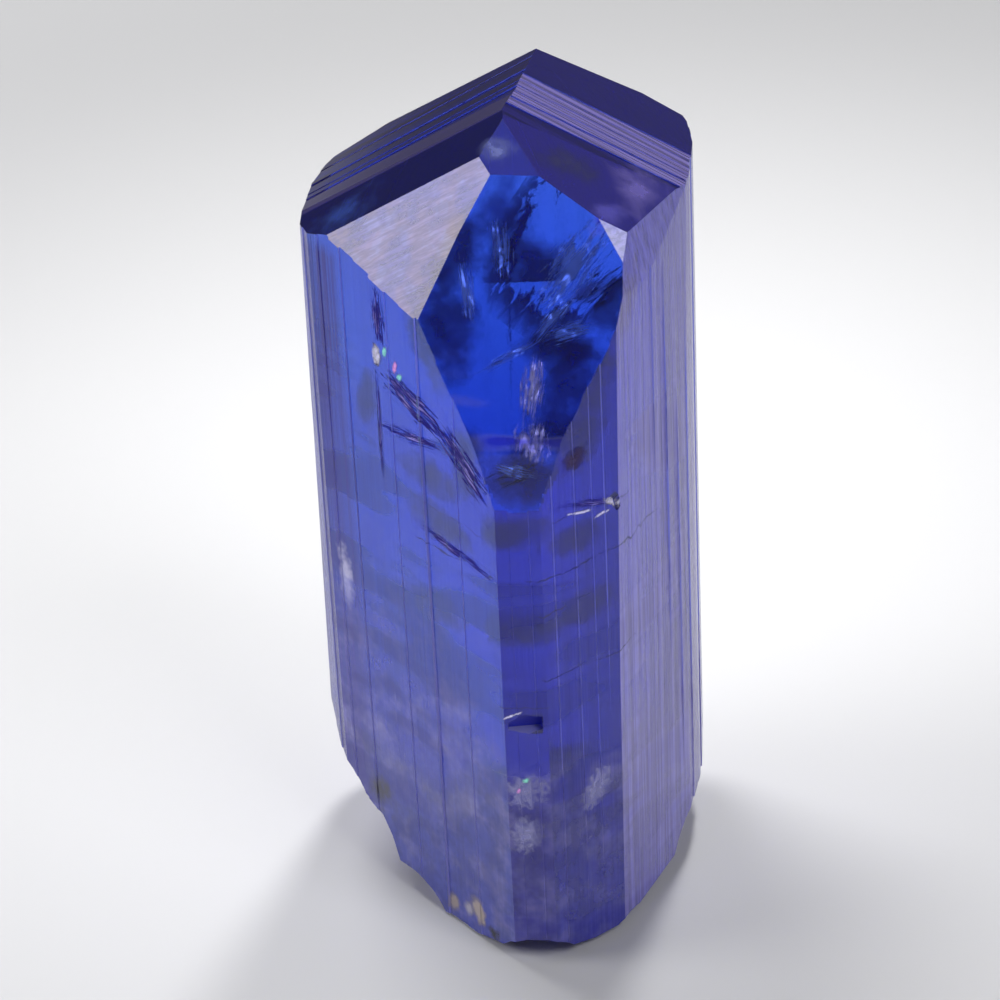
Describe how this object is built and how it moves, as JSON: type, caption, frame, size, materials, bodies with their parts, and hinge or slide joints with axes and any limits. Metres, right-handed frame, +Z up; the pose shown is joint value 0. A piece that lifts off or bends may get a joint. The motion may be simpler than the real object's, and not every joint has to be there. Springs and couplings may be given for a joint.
{
  "type": "rough tanzanite crystal",
  "caption": "Rough blue-violet tanzanite crystal, one clear striated prism with a faceted tip, standing on its broken foot.",
  "frame": {"origin": "on the surface it stands on, under the middle of the crystal's box", "axes": "+Z up along the prism, -Y towards the steep kite-shaped face, +X to the viewer's right"},
  "size_m": [0.0156, 0.0172, 0.0331],
  "materials": {
    "tanzanite": "clear blue-violet gem crystal, glossy on the tip, striated on the sides, milky at the broken foot"
  },
  "bodies": {
    "root": {"crystal": "tanzanite"}
  },
  "joints": []
}
